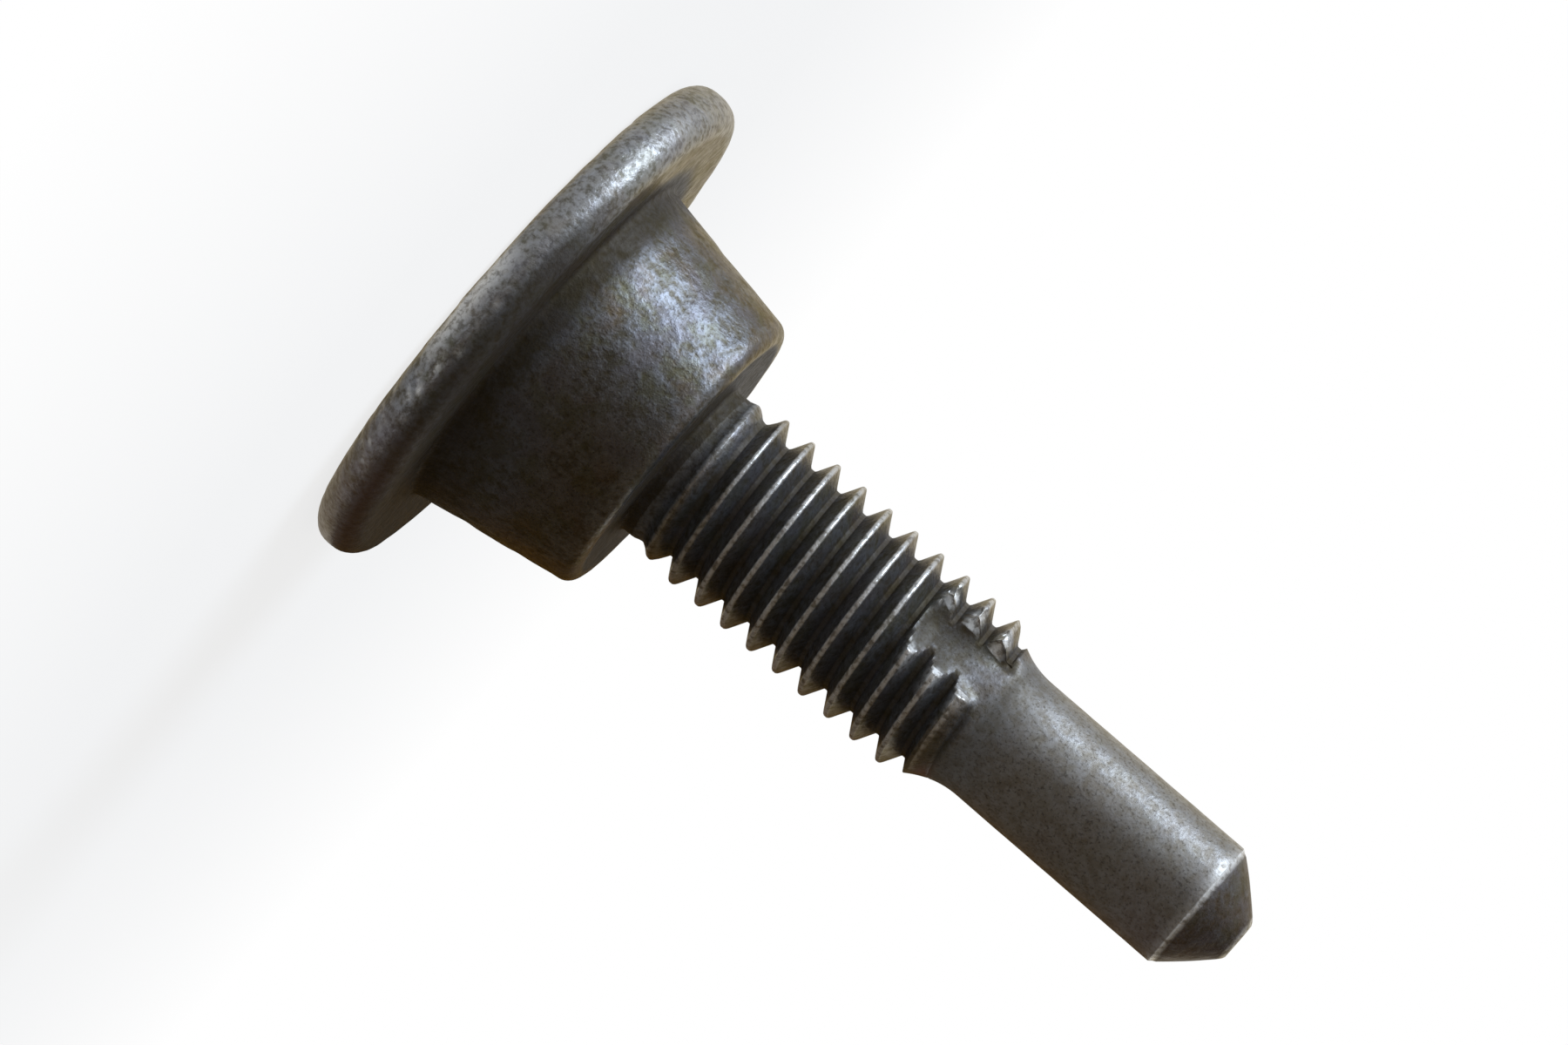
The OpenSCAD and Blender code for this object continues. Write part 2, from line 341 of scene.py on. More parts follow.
def socket_outline(form, turns):
    """Radius of the six-lobe socket at each angle."""
    s = form.s
    lobe_at = s.socket_d / 2 - s.socket_lobe_r
    rib_edge = s.socket_rib_d / 2
    cos30 = math.cos(math.radians(30))
    rib_r = ((lobe_at ** 2 + rib_edge ** 2 - 2 * lobe_at * rib_edge * cos30 - s.socket_lobe_r ** 2)
             / (2 * (s.socket_lobe_r + lobe_at * cos30 - rib_edge)))
    rib_at = rib_edge + rib_r
    sixth = math.radians(60)
    from_lobe = np.abs((turns + sixth / 2) % sixth - sixth / 2)
    from_rib = sixth / 2 - from_lobe
    across = lobe_at * np.sin(from_lobe)
    lobe = lobe_at * np.cos(from_lobe) + np.sqrt(np.clip(s.socket_lobe_r ** 2 - across ** 2, 0, None))
    across = rib_at * np.sin(from_rib)
    rib = rib_at * np.cos(from_rib) - np.sqrt(np.clip(rib_r ** 2 - across ** 2, 0, None))
    touch = math.atan2(rib_at * 0.5, rib_at * cos30 - lobe_at)
    touch_turn = math.atan2(s.socket_lobe_r * math.sin(touch),
                            lobe_at + s.socket_lobe_r * math.cos(touch))
    return np.where(from_lobe < touch_turn, lobe, rib)


class Skin:
    """Collects the skin's points, faces and marks as rings are added from the head to the point."""

    MARKS = ("wear", "oil", "thin", "rust")

    def __init__(self, turns):
        self.turns = turns
        self.points = []
        self.marks = []
        self.faces = []
        self.last = None

    def add_points(self, r, z, turns, wear=0.0, oil=0.0, thin=0.0, rust=0.0):
        """Add points and return their indices."""
        start = len(self.points)
        r, z, turns, *marks = np.broadcast_arrays(r, z, turns, wear, oil, thin, rust)
        self.points.extend(zip(r * np.cos(turns), r * np.sin(turns), z))
        self.marks.extend(zip(*marks))
        return np.arange(start, len(self.points))

    def pole(self, z, **marks):
        """Add a single point on the axis and close the skin to it."""
        index = self.add_points(0.0, np.array([z]), 0.0, **marks)
        self.join(np.repeat(index, len(self.turns)))

    def ring(self, r, z, **marks):
        """Add a ring, whose radius and height may differ from column to column."""
        self.join(self.add_points(r, z, self.turns, **marks))

    def join(self, row):
        """Join a row of points to the last one."""
        if self.last is not None:
            self.strip(self.last, np.roll(self.last, -1), np.roll(row, -1), row)
        self.last = row

    def strip(self, a, b, c, d):
        """Add faces between rows, leaving out corners that fall together."""
        for face in zip(a, b, c, d):
            corners = [p for i, p in enumerate(face) if p != face[i - 1]]
            if len(corners) > 2:
                self.faces.append(corners)

    def change_columns(self, turns, r, z, **marks):
        """Add a ring with other columns, joined to the last one by triangles."""
        row = self.add_points(r, z, turns, **marks)
        a, b = len(self.last), len(row)
        i = j = 0
        while i < a or j < b:
            next_a = self.turns[(i + 1) % a] + TURN * ((i + 1) // a)
            next_b = turns[(j + 1) % b] + TURN * ((j + 1) // b)
            if j == b or (i < a and next_a <= next_b):
                self.faces.append([self.last[i % a], self.last[(i + 1) % a], row[j % b]])
                i += 1
            else:
                self.faces.append([self.last[i % a], row[(j + 1) % b], row[j % b]])
                j += 1
        self.turns = turns
        self.last = row


def add_socket(skin, form):
    """The drive socket, from the middle of its floor out to its mouth."""
    s = form.s
    outline = socket_outline(form, skin.turns)
    mouth_r = s.socket_d / 2 + s.socket_mouth
    floor_r = s.socket_rib_d / 2 - s.socket_mouth
    depth = s.socket_depth
    corner = 0.12 * MM
    slope = math.tan(s.socket_floor_slope)
    # The socket's floor and walls take the full oil colour, as oil and as painted shade in the recess,
    # fading out up the walls to its mouth.
    skin.pole(depth + floor_r * slope, oil=1.0)
    for share in (0.5, 1.0):
        skin.ring(floor_r * share, depth + floor_r * (1 - share) * slope, oil=1.0)
    skin.ring(outline - corner, depth, oil=1.0)
    skin.ring(outline - corner * 0.3, depth - corner * 0.3, oil=1.0)
    skin.ring(outline, depth - corner, oil=1.0)
    edge_z = (mouth_r - outline) * math.tan(s.socket_mouth_slope)
    for share in (0.7, 0.35):
        skin.ring(outline, edge_z + (depth - corner - edge_z) * share, oil=share)
    skin.ring(outline, edge_z + 0.06 * MM, wear=0.2)
    skin.ring(outline + 0.02 * MM, edge_z + 0.015 * MM, wear=0.5)
    skin.ring(outline + 0.07 * MM, edge_z - 0.015 * MM, wear=0.3)
    skin.ring(mouth_r - 0.03 * MM, 0.012 * MM, wear=0.2)
    skin.ring(mouth_r + 0.03 * MM, 0.0, wear=0.3)


def add_head(skin, form):
    """The head's outer face, its round rim, the flange's underside and the shoulder."""
    s = form.s
    rim_centre = s.flange_d / 2 - s.rim_r
    shoulder_r = s.shoulder_d / 2
    end_r = s.shoulder_end_d / 2
    taper = math.atan((shoulder_r - end_r) / (s.shoulder_end_z - s.flange_t))
    taper_deg = math.degrees(taper)
    fillet_r = shoulder_r + s.root_fillet * math.tan((math.pi / 2 - taper) / 2)
    edge_r = end_r - s.shoulder_edge_r * (1 / math.cos(taper) - math.tan(taper))
    face_start = s.socket_d / 2 + s.socket_mouth + 0.06 * MM
    for r in np.linspace(face_start, rim_centre, 9)[:-1]:
        skin.ring(r, 0.0)
    # Painted shade: the side away from the key light takes more of the oil colour, on the rim, the underside
    # and the shoulder.
    shade_away_from_key = 0.9 * smooth(np.cos(skin.turns - FULL_AND_LIT_SIDE), 0.1, -0.7)
    rubbed = 0.09 + 0.12 * smooth(np.cos(skin.turns - FULL_AND_LIT_SIDE), -0.5, 0.8)
    # Painted shade along the rim's inner edge, all round except towards the key light.
    rim_shade = 0.9 * smooth(np.cos(skin.turns - FULL_AND_LIT_SIDE), 0.75, 0.2)
    rusty = 0.3 * smooth(np.cos(skin.turns - RIM_RUST_TURN), 0.6, 1.0)
    scuffed = 0.7 * smooth(np.cos(skin.turns - RIM_WEAR_TURN), 0.955, 1.0)
    # The rim's outer face takes a little painted shade on the side away from the key light.
    for r, z in arc(rim_centre, s.rim_r, s.rim_r, -90, 0, 9):
        scuff = scuffed * smooth(z, 0, 0.12 * s.rim_r) * smooth(z, 0.9 * s.rim_r, 0.2 * s.rim_r)
        skin.ring(r, z, wear=rubbed + scuff, oil=0.1 * shade_away_from_key,
                  rust=rusty * smooth(r, rim_centre, rim_centre + s.rim_r))
    # On the rim's inner half: oil all round, painted shade on the side away from the key light and along the
    # inner edge, where the bare steel is also taken off.
    for r, z in arc(rim_centre, s.flange_t - s.rim_r, s.rim_r, 0, 90, 9):
        oil = np.maximum(0.15, shade_away_from_key * smooth(r, rim_centre + 1.4 * s.rim_r, rim_centre))
        inner_shade = rim_shade * smooth(z, s.flange_t - 1.15 * s.rim_r, s.flange_t - 0.45 * s.rim_r)
        skin.ring(r, z, wear=1.2 * rubbed * (1 - inner_shade), oil=np.maximum(oil, inner_shade),
                  rust=rusty * smooth(r, rim_centre, rim_centre + s.rim_r))
    # Painted shade on the underside: towards the shoulder's root, on the side away from the key light and at
    # the rim's inner edge.
    for r in np.linspace(rim_centre, fillet_r, 12)[1:-1]:
        oil = np.maximum(np.maximum(shade_away_from_key, rim_shade), smooth(r, fillet_r + 1.0 * MM, fillet_r))
        skin.ring(r, s.flange_t, oil=oil)
    # Painted shade in the corner between the flange and the shoulder.
    for r, z in arc(fillet_r, s.flange_t + s.root_fillet, s.root_fillet, 270, 180 + taper_deg, 5):
        skin.ring(r, z, oil=1.0)
    wall_z = skin.points[-1][2]
    edge = arc(edge_r, s.shoulder_end_z - s.shoulder_edge_r, s.shoulder_edge_r, taper_deg, 90, 8)
    # Painted shade on the shoulder near the flange, reaching further up on the side away from the key light.
    for share in np.linspace(0, 1, 34)[1:-1]:
        z = wall_z + (edge[0][1] - wall_z) * share
        oil = np.maximum(smooth(share, 0.3, 0.03), 0.9 * shade_away_from_key * smooth(share, 0.8, 0.15))
        skin.ring(end_r + (s.shoulder_end_z - z) * math.tan(taper), z, oil=oil)
    for r, z in edge:
        skin.ring(r, z, wear=0.03)
    # Painted shade on the shoulder's end face and in its corner with the thread's blank.
    corner = 0.15 * MM
    for r in np.linspace(edge_r, form.blank_r + corner, 8)[1:-1]:
        skin.ring(r, s.shoulder_end_z, oil=0.95)
    for r, z in arc(form.blank_r + corner, s.shoulder_end_z + corner, corner, 270, 180, 4):
        skin.ring(r, z, oil=1.0)


def add_thread(skin, form):
    """The threaded length: rows of points that follow the helix, held at a ring at either end."""
    s = form.s
    skin.change_columns(form.shank_turns(), form.blank_r, form.thread_z, oil=0.95)
    places = np.array([-p for p in SECTION_PLACES[:0:-1]] + list(SECTION_PLACES) + [0.5])
    rows_per_turn = len(places)
    turns_before = math.ceil((form.first_crest_z - form.thread_z) / s.pitch) + 2
    turns_after = math.ceil((form.cap_z - form.first_crest_z) / s.pitch) + 2
    depth = np.tile(form.section_depth(places), turns_before + turns_after)
    places = np.concatenate([places + turn for turn in range(-turns_before, turns_after)])
    grid = np.empty((len(skin.turns), len(places)), dtype=int)
    foot = skin.last
    cut_r = form.flute_cut_r(form.from_flute(skin.turns), form.cap_z)
    cap_r = soft_min(form.cap_r, cut_r, BLEND_WIDTH)
    cap = skin.add_points(cap_r, form.cap_z, skin.turns, thin=1.0, oil=form.run_out_oil(form.cap_z))
    for column, turn in enumerate(skin.turns):
        z = form.first_crest_z + s.pitch * (places + turn / TURN)
        grown = np.clip((z - form.thread_z) / (GROW_TURNS * s.pitch), 0, 1)
        full_r = form.blank_r + (form.thread_r - form.depth * depth - form.blank_r) * grown
        sink_r = form.sink_r(z)
        fill = RUNOUT_SHARE * smooth(z, form.last_crest_z - 0.35 * MM, form.last_crest_z + 0.35 * MM)
        full_r = np.clip(full_r, form.pilot_r + fill * (sink_r - form.pilot_r), sink_r)
        from_flute = form.from_flute(turn)
        cut_r = form.flute_cut_r(from_flute, z)
        under = full_r - cut_r
        soft = (0.03 + 0.22 * smooth(z, form.last_crest_z, form.cap_z)) * MM
        r = soft_min(full_r, cut_r, soft)
        marks = thread_marks(form, from_flute, z, r, depth, under)
        free = (z > form.thread_z) & (z < form.cap_z)
        grid[column] = np.where(z <= form.thread_z, foot[column], cap[column])
        grid[column][free] = skin.add_points(r[free], z[free], turn, *(mark[free] for mark in marks))
    for column in range(len(skin.turns) - 1):
        skin.strip(grid[column][:-1], grid[column + 1][:-1], grid[column + 1][1:], grid[column][1:])
    last, first = grid[-1][:-rows_per_turn], grid[0][rows_per_turn:]
    skin.strip(last[:-1], first[:-1], first[1:], last[1:])
    skin.last = cap


def thread_marks(form, from_flute, z, r, depth, under):
    """Wear, oil and painted shade, thin coat and rust on one column of the thread, which the flute cuts by
    under.
    """
    tall = smooth(r, form.root_r, form.thread_r)
    start = smooth(z, form.first_crest_z, form.first_crest_z + 2.5 * form.s.pitch)
    crest = (0.24 + 0.3 * start) * smooth(depth, 0.1, 0.0) * smooth(tall, 0.2, 0.8)
    lip = 0.95 * np.exp(-(under / (0.07 * MM)) ** 2) * smooth(r, form.root_r + 0.05 * MM, form.thread_r)
    along = smooth(z, form.flute_round_z - form.s.flute_end_r, form.flute_round_z)
    behind = np.where(from_flute < 0, -form.face_turn - from_flute, from_flute - RAMP_END)
    torn = smooth(behind, TORN_TURN, 0) * (behind > math.radians(-3)) * smooth(depth, 0.8, 0.0)
    uncut = smooth(r + np.clip(under, 0, None), form.root_r, form.thread_r)
    in_flute = smooth(under, 0.0, 0.1 * MM)
    foot = in_flute * smooth(-from_flute, 0.5 * form.face_turn, 0.9 * form.face_turn)
    face = in_flute * smooth(-from_flute, 0.9 * form.face_turn, 0.98 * form.face_turn)
    flank = 0.06 * smooth(tall, 0.0, 0.3)
    wear = np.maximum(np.maximum(crest, lip), np.maximum(0.95 * torn * along, 0.8 * face) * uncut)
    wear = np.maximum(wear, flank)
    run_out = smooth(z, form.last_crest_z - 0.1 * MM, form.cap_z)
    # The thread's valleys take the oil colour, as oil and as painted shade in the grooves; it is lifted in
    # the flute and on the run-out.
    oil = 0.28 * smooth(depth, 0.1, 0.6) + 0.5 * smooth(depth, 0.75, 1.0)
    oil = oil * (1 - in_flute) * (1 - run_out)
    oil = np.maximum(oil, run_out * form.run_out_oil(z))
    # Painted shade where the thread starts beside the shoulder's end face.
    oil = np.maximum(oil, 0.9 * smooth(z, form.first_crest_z, form.thread_z))
    # Oil and painted shade in the flute, darker towards its inner end.
    oil = np.maximum(oil, in_flute * (0.2 + 0.5 * smooth(z, form.last_crest_z, form.flute_round_z)))
    # Painted shade in the corner at the foot of the cutting face.
    oil = np.maximum(oil, 0.9 * foot * (1 - uncut))
    thin = np.maximum(0.5 * in_flute * (1 - foot), run_out)
    spot = ((from_flute - RUST_TURN) / RUST_HALF) ** 2 + ((z - form.last_crest_z) / RUST_LEN) ** 2
    return wear, oil, thin, 0.8 * np.exp(-spot)


def add_pilot(skin, form):
    """The rest of the hollow curve, the pilot and its cone point."""
    s = form.s
    from_flute = form.from_flute(skin.turns)
    for z in np.linspace(form.cap_z, form.pilot_z, 6)[1:]:
        cut_r = form.flute_cut_r(from_flute, z)
        skin.ring(soft_min(form.sink_r(z), cut_r, BLEND_WIDTH), z, thin=1.0, oil=form.run_out_oil(z))
    edge = 0.05 * MM
    stained = 0.25 * smooth(np.cos(skin.turns - RIM_RUST_TURN), 0.4, 1.0)
    for z in np.linspace(form.pilot_z, form.pilot_end_z - edge, 25)[1:]:
        rubbed = 0.25 * smooth(z, form.pilot_end_z - 0.3 * MM, form.pilot_end_z)
        skin.ring(form.pilot_r, z, thin=1.0, wear=rubbed, oil=form.run_out_oil(z),
                  rust=stained * smooth(z, form.pilot_end_z - 3 * MM, form.pilot_end_z))
    narrow = (form.pilot_r - s.tip_d / 2) / s.tip_len
    skin.ring(form.pilot_r - 0.025 * MM, form.pilot_end_z - 0.01 * MM, wear=0.9, thin=1.0)
    skin.ring(form.pilot_r - 0.03 * MM - edge * narrow, form.pilot_end_z + edge, wear=0.6, thin=0.6)
    bulge = 0.05 * MM
    # The cone point is darkened with the oil colour as painted shade.
    for share in np.linspace(0, 1, 11)[1:-1]:
        r = form.pilot_r + (s.tip_d / 2 - form.pilot_r) * share + bulge * math.sin(math.pi * share)
        skin.ring(r, form.pilot_end_z + s.tip_len * share, wear=0.2 * smooth(share, 0.14, 0.0), oil=0.4,
                  rust=0.06 + 0.5 * stained)
    skin.ring(s.tip_d / 2 + 0.05 * MM, s.tip_z - 0.06 * MM, wear=0.3)
    skin.ring(s.tip_d / 2 - 0.05 * MM, s.tip_z - 0.008 * MM, wear=0.4)
    skin.ring(s.tip_d / 4, s.tip_z, wear=0.15)
    skin.pole(s.tip_z)


# Unevenness of a forged part

# Nicks and dents are longer round the screw than along it
NICK_SQUASH = (0.85, 0.85, 1.5)

# How many nicks the rim has between two angles in degrees
RIM_NICKS = ((46, 298, 348), (34, 0, 360))
SHOULDER_DENTS = 70
TIP_NICK_TURN = math.radians(225)

# Teeth that the flute's cutting face chipped, and the chips on each
CHIPPED_TEETH = 3
TOOTH_CHIPS = 6

# Size of the waves in mm, and their height in mm on the head and on the shank
WAVES = ((1.7, 0.02, 0.004), (0.6, 0.012, 0.004))


def forge_flange(points, form):
    """Move the flange a little off centre, and make it fuller on that side, as the header left it."""
    s = form.s
    r = np.hypot(points[:, 0], points[:, 1])
    flange = points[:, 2] < s.flange_t + 1e-6
    out = smooth(r, s.shoulder_d / 2 + 0.3 * MM, s.flange_d / 2 - s.rim_r) * flange
    side = np.cos(np.arctan2(points[:, 1], points[:, 0]) - FULL_AND_LIT_SIDE)
    full = out * np.clip(side, 0, 1) ** 4
    shift = 0.09 * MM * out + 0.07 * MM * full
    points[:, 0] += shift * math.cos(FULL_AND_LIT_SIDE)
    points[:, 1] += shift * math.sin(FULL_AND_LIT_SIDE)
    points[:, 2] += 0.13 * MM * full * smooth(points[:, 2], 0.3 * s.flange_t, s.flange_t)


def dents(form):
    """Nicks on the rim and the point, dents on the shoulder and chips on the cut teeth, each with its
    place, radius, depth and brightness."""
    s = form.s
    rng = random.Random(11)
    found = []
    for count, low, high in RIM_NICKS:
        for _ in range(count):
            turn = math.radians(rng.uniform(low, high))
            across = math.radians(rng.uniform(-75, 10))
            r = s.flange_d / 2 - s.rim_r + s.rim_r * math.cos(across)
            z = s.flange_t / 2 + s.flange_t / 2 * math.sin(across)
            place = (r * math.cos(turn), r * math.sin(turn), z)
            radius, depth = rng.uniform(0.07, 0.16) * MM, rng.uniform(0.02, 0.05) * MM
            found.append((place, radius, depth, rng.uniform(0.25, 0.8)))
    r = s.tip_d / 2
    place = (r * math.cos(TIP_NICK_TURN), r * math.sin(TIP_NICK_TURN), s.tip_z - 0.03 * MM)
    found.append((place, 0.16 * MM, 0.05 * MM, 0.9))
    for _ in range(SHOULDER_DENTS):
        turn = rng.uniform(0, TURN)
        share = rng.uniform(0.05, 0.97)
        r = (s.shoulder_d + (s.shoulder_end_d - s.shoulder_d) * share) / 2
        z = s.flange_t + (s.shoulder_end_z - s.flange_t) * share
        place = (r * math.cos(turn), r * math.sin(turn), z)
        found.append((place, rng.uniform(0.15, 0.45) * MM, rng.uniform(0.01, 0.035) * MM, 0.0))
    for back in range(CHIPPED_TEETH):
        for _ in range(TOOTH_CHIPS):
            turn = (FLUTE_ANGLE - form.face_turn - math.radians(rng.uniform(0, 9))) % TURN
            shift = rng.uniform(-0.2, 0.2)
            r = form.thread_r - form.depth * float(form.section_depth(shift))
            place = (r * math.cos(turn), r * math.sin(turn), form.crest_z(turn, back) + shift * s.pitch)
            found.append((place, rng.uniform(0.09, 0.18) * MM, rng.uniform(0.06, 0.14) * MM, 1.3))
    return found


def forge_surface(points, normals, wear, form):
    """Make the surface uneven along its normals, with waves, nicks, dents and chips."""
    s = form.s
    head = smooth(points[:, 2], form.thread_z, s.shoulder_end_z)
    inside = np.hypot(points[:, 0], points[:, 1]) < s.socket_d / 2 + s.socket_mouth
    head = np.where(inside & (points[:, 2] < s.socket_depth * 1.5), 0, head)
    offset = np.zeros(len(points))
    for size, head_height, shank_height in WAVES:
        waves = np.array([noise.noise(Vector(p) / (size * MM)) for p in points])
        offset += waves * (shank_height + (head_height - shank_height) * head) * MM
    for place, radius, depth, bright in dents(form):
        away = np.linalg.norm((points - place) * NICK_SQUASH, axis=1) / radius
        near = np.exp(-away ** 2)
        offset -= depth * near
        wear = np.maximum(wear, bright * np.exp(-(away * 1.2) ** 2))
    resting = points[:, 2] < 1e-7
    return points + normals * np.where(resting, 0, offset)[:, None], wear


def build_screw_mesh(sizes):
    """Build the screw's skin as one closed mesh, with its wear, oil and painted shade, thin coat and rust as
    attributes.
    """
    form = Form(sizes)
    skin = Skin(form.head_turns())
    add_socket(skin, form)
    add_head(skin, form)
    add_thread(skin, form)
    add_pilot(skin, form)
    points = np.array(skin.points)
    forge_flange(points, form)
    mesh = bpy.data.meshes.new("screw_body")
    mesh.from_pydata(points.tolist(), [], [[int(p) for p in face] for face in skin.faces])
    work = bmesh.new()
    work.from_mesh(mesh)
    bmesh.ops.recalc_face_normals(work, faces=work.faces)
    work.to_mesh(mesh)
    work.free()
    normals = np.empty(len(points) * 3, dtype=np.float32)
    mesh.vertex_normals.foreach_get("vector", normals)
    marks = np.array(skin.marks)
    points, marks[:, 0] = forge_surface(points, normals.reshape(-1, 3), marks[:, 0], form)
    mesh.vertices.foreach_set("co", points.astype(np.float32).ravel())
    for column, name in enumerate(Skin.MARKS):
        values = mesh.attributes.new(name, "FLOAT", "POINT")
        values.data.foreach_set("value", marks[:, column].astype(np.float32))
    mesh.shade_smooth()
    mesh.set_sharp_from_angle(angle=math.radians(38))
    return mesh


# Finish

def add_node(tree, kind, inputs=None, output=0, **settings):
    """Add a node, set or link its inputs by name or number, and return one of its outputs."""
    node = tree.nodes.new(kind)
    for name, value in settings.items():
        setattr(node, name, value)
    for name, value in (inputs or {}).items():
        if isinstance(value, bpy.types.NodeSocket):
            tree.links.new(value, node.inputs[name])
        else:
            node.inputs[name].default_value = value
    return node.outputs[output] if node.outputs else None


def new_material(name):
    """A material with an empty node tree."""
    material = bpy.data.materials.new(name)
    material.use_nodes = True
    material.node_tree.nodes.clear()
    return material, material.node_tree


def opaque(rgb):
    """A colour with full alpha."""
    return (*rgb, 1.0)


def phosphated_steel(finish):
    """Steel with a manganese phosphate coat and old oil: near black and satin, with a mottle of small
    crystals. The coat is thinner on the pilot, worn to bright steel on crests and edges, and rusty in
    a few places. The oil colour also paints shade into valleys and corners and onto the side away
    from the key light."""
    material, tree = new_material("phosphated_steel")
    place = add_node(tree, "ShaderNodeTexCoord", output="Object")
    # Real crystals are about a tenth of this grain, too fine to show, so they are drawn coarser
    grains = {"brown": 9.0, "violet": 7.0, "olive": 5.0, "blotch": 2.2, "crystals": 1.0, "grit": 0.45}
    noises = {name: add_node(tree, "ShaderNodeTexNoise", {
        "Vector": place, "Scale": 1 / (size * finish.grain), "Detail": 3.0, "Roughness": 0.6})
        for name, size in grains.items()}
    marks = {name: add_node(tree, "ShaderNodeAttribute", output="Fac", attribute_name=name)
             for name in Skin.MARKS}
    mottle = add_node(tree, "ShaderNodeMix", {0: 0.5, 2: noises["blotch"], 3: noises["crystals"]})

    # Source, its low and high values, and what they become
    ranges = {
        "pale": (mottle, 0.34, 0.66, 0.0, 1.0),
        "brown": (noises["brown"], 0.5, 0.64, 0.0, 0.4),
        "violet": (noises["violet"], 0.5, 0.62, 0.0, 0.5),
        "olive": (noises["olive"], 0.5, 0.62, 0.0, 0.4),
        "thin": (marks["thin"], 0.0, 1.0, 0.0, 0.72),
        "speck": (noises["grit"], 0.5, 0.7, 0.0, 0.55),
        "broken": (noises["crystals"], 0.34, 0.58, 0.35, 1.1),
        "rough": (mottle, 0.36, 0.64, 0.44, 0.33),
        "metal": (marks["oil"], 0.0, 1.0, 0.8, 0.1),
        "oil": (marks["oil"], 0.0, 1.0, 0.0, 0.8),
        "bump": (marks["thin"], 0.0, 1.0, 1.0, 0.4),
    }
    names = ("Value", "From Min", "From Max", "To Min", "To Max")
    shares = {name: add_node(tree, "ShaderNodeMapRange", dict(zip(names, values)),
                             interpolation_type="SMOOTHSTEP") for name, values in ranges.items()}
    worn = add_node(tree, "ShaderNodeMath", {0: marks["wear"], 1: shares["broken"]}, operation="MULTIPLY")
    thin_coat = add_node(tree, "ShaderNodeMix", {
        0: shares["pale"], 6: opaque(finish.thin_dark), 7: opaque(finish.thin_pale)}, 2, data_type="RGBA")

    coat = opaque(finish.coat_dark)
    for share, tint in (
            (shares["pale"], opaque(finish.coat_pale)), (shares["brown"], opaque(finish.coat_brown)),
            (shares["violet"], opaque(finish.coat_violet)), (shares["olive"], opaque(finish.coat_olive)),
            (shares["thin"], thin_coat), (shares["oil"], opaque(finish.oil)),
            (shares["speck"], opaque(finish.speck)), (worn, opaque(finish.bare_steel)),
            (marks["rust"], opaque(finish.rust))):
        coat = add_node(tree, "ShaderNodeMix", {0: share, 6: coat, 7: tint}, 2, data_type="RGBA")
    # Worn steel is finely scratched, so it scatters some light like a dull surface
    metal = add_node(tree, "ShaderNodeMath", {0: worn, 1: -0.4, 2: shares["metal"]},
                     operation="MULTIPLY_ADD")
    metal = add_node(tree, "ShaderNodeMath", {0: marks["thin"], 1: -0.2, 2: metal},
                     operation="MULTIPLY_ADD")
    metal = add_node(tree, "ShaderNodeMath", {0: metal, 1: marks["rust"]},
                     operation="SUBTRACT", use_clamp=True)
    rough = add_node(tree, "ShaderNodeMath", {0: worn, 1: -0.12, 2: shares["rough"]},
                     operation="MULTIPLY_ADD")
    rough = add_node(tree, "ShaderNodeMath", {0: marks["oil"], 1: 0.2, 2: rough},
                     operation="MULTIPLY_ADD")
    height = add_node(tree, "ShaderNodeMath", {0: noises["grit"], 1: 0.12, 2: mottle},
                      operation="MULTIPLY_ADD")
    bump = add_node(tree, "ShaderNodeBump", {
        "Height": height, "Strength": shares["bump"], "Distance": 2 * finish.relief})
    shader = add_node(tree, "ShaderNodeBsdfPrincipled", {
        "Base Color": coat, "Metallic": metal, "Roughness": rough, "Specular Tint": opaque(finish.edge_tint),
        "Specular IOR Level": 0.2, "Normal": bump})
    add_node(tree, "ShaderNodeOutputMaterial", {"Surface": shader})
    return material


def seen_directly(tree):
    """1 where the camera, a reflection or a clear body looks, and 0 for scattered light."""
    path = add_node(tree, "ShaderNodeLightPath").node
    seen = path.outputs["Is Camera Ray"]
    for ray in ("Is Glossy Ray", "Is Transmission Ray"):
        seen = add_node(tree, "ShaderNodeMath", {0: seen, 1: path.outputs[ray]}, operation="MAXIMUM")
    return seen


def matt_white_paper(look):
    """Matt white paper that fades into the white room. It keeps a soft shadow near the screw."""
    material, tree = new_material("matt_white_paper")
    paper = add_node(tree, "ShaderNodeBsdfDiffuse", {"Color": opaque(look.floor)})
    glow = add_node(tree, "ShaderNodeEmission", {"Strength": 1.0})
    place = add_node(tree, "ShaderNodeTexCoord", output="Object")
    away = add_node(tree, "ShaderNodeVectorMath", {0: place}, "Value", operation="LENGTH")
    fade = add_node(tree, "ShaderNodeMapRange", {
        "Value": away, "From Min": FADE_START, "From Max": FADE_END, "To Min": NEAR_GLOW, "To Max": 1.0})
    share = add_node(tree, "ShaderNodeMath", {0: seen_directly(tree), 1: fade}, operation="MULTIPLY")
    mixed = add_node(tree, "ShaderNodeMixShader", {0: share, 1: paper, 2: glow})
    add_node(tree, "ShaderNodeOutputMaterial", {"Surface": mixed})
    return material


def plain_wood(look):
    """Dull brown wood, seen only as the dark warm side of the reflections."""
    material, tree = new_material("plain_wood")
    wood = add_node(tree, "ShaderNodeBsdfDiffuse", {"Color": opaque(look.board)})
    add_node(tree, "ShaderNodeOutputMaterial", {"Surface": wood})
    return material


def white_room(look):
    """A white room, whose scattered light is held to a plain level."""
    world = bpy.data.worlds.new("white_room")
    world.use_nodes = True
    tree = world.node_tree
    tree.nodes.clear()
    level = add_node(tree, "ShaderNodeMapRange", {
        "Value": seen_directly(tree), "To Min": look.room_level, "To Max": 1.0})
    back = add_node(tree, "ShaderNodeBackground", {"Color": (1.0, 1.0, 1.0, 1.0), "Strength": level})
    add_node(tree, "ShaderNodeOutputWorld", {"Surface": back})
    bpy.context.scene.world = world


# Stage

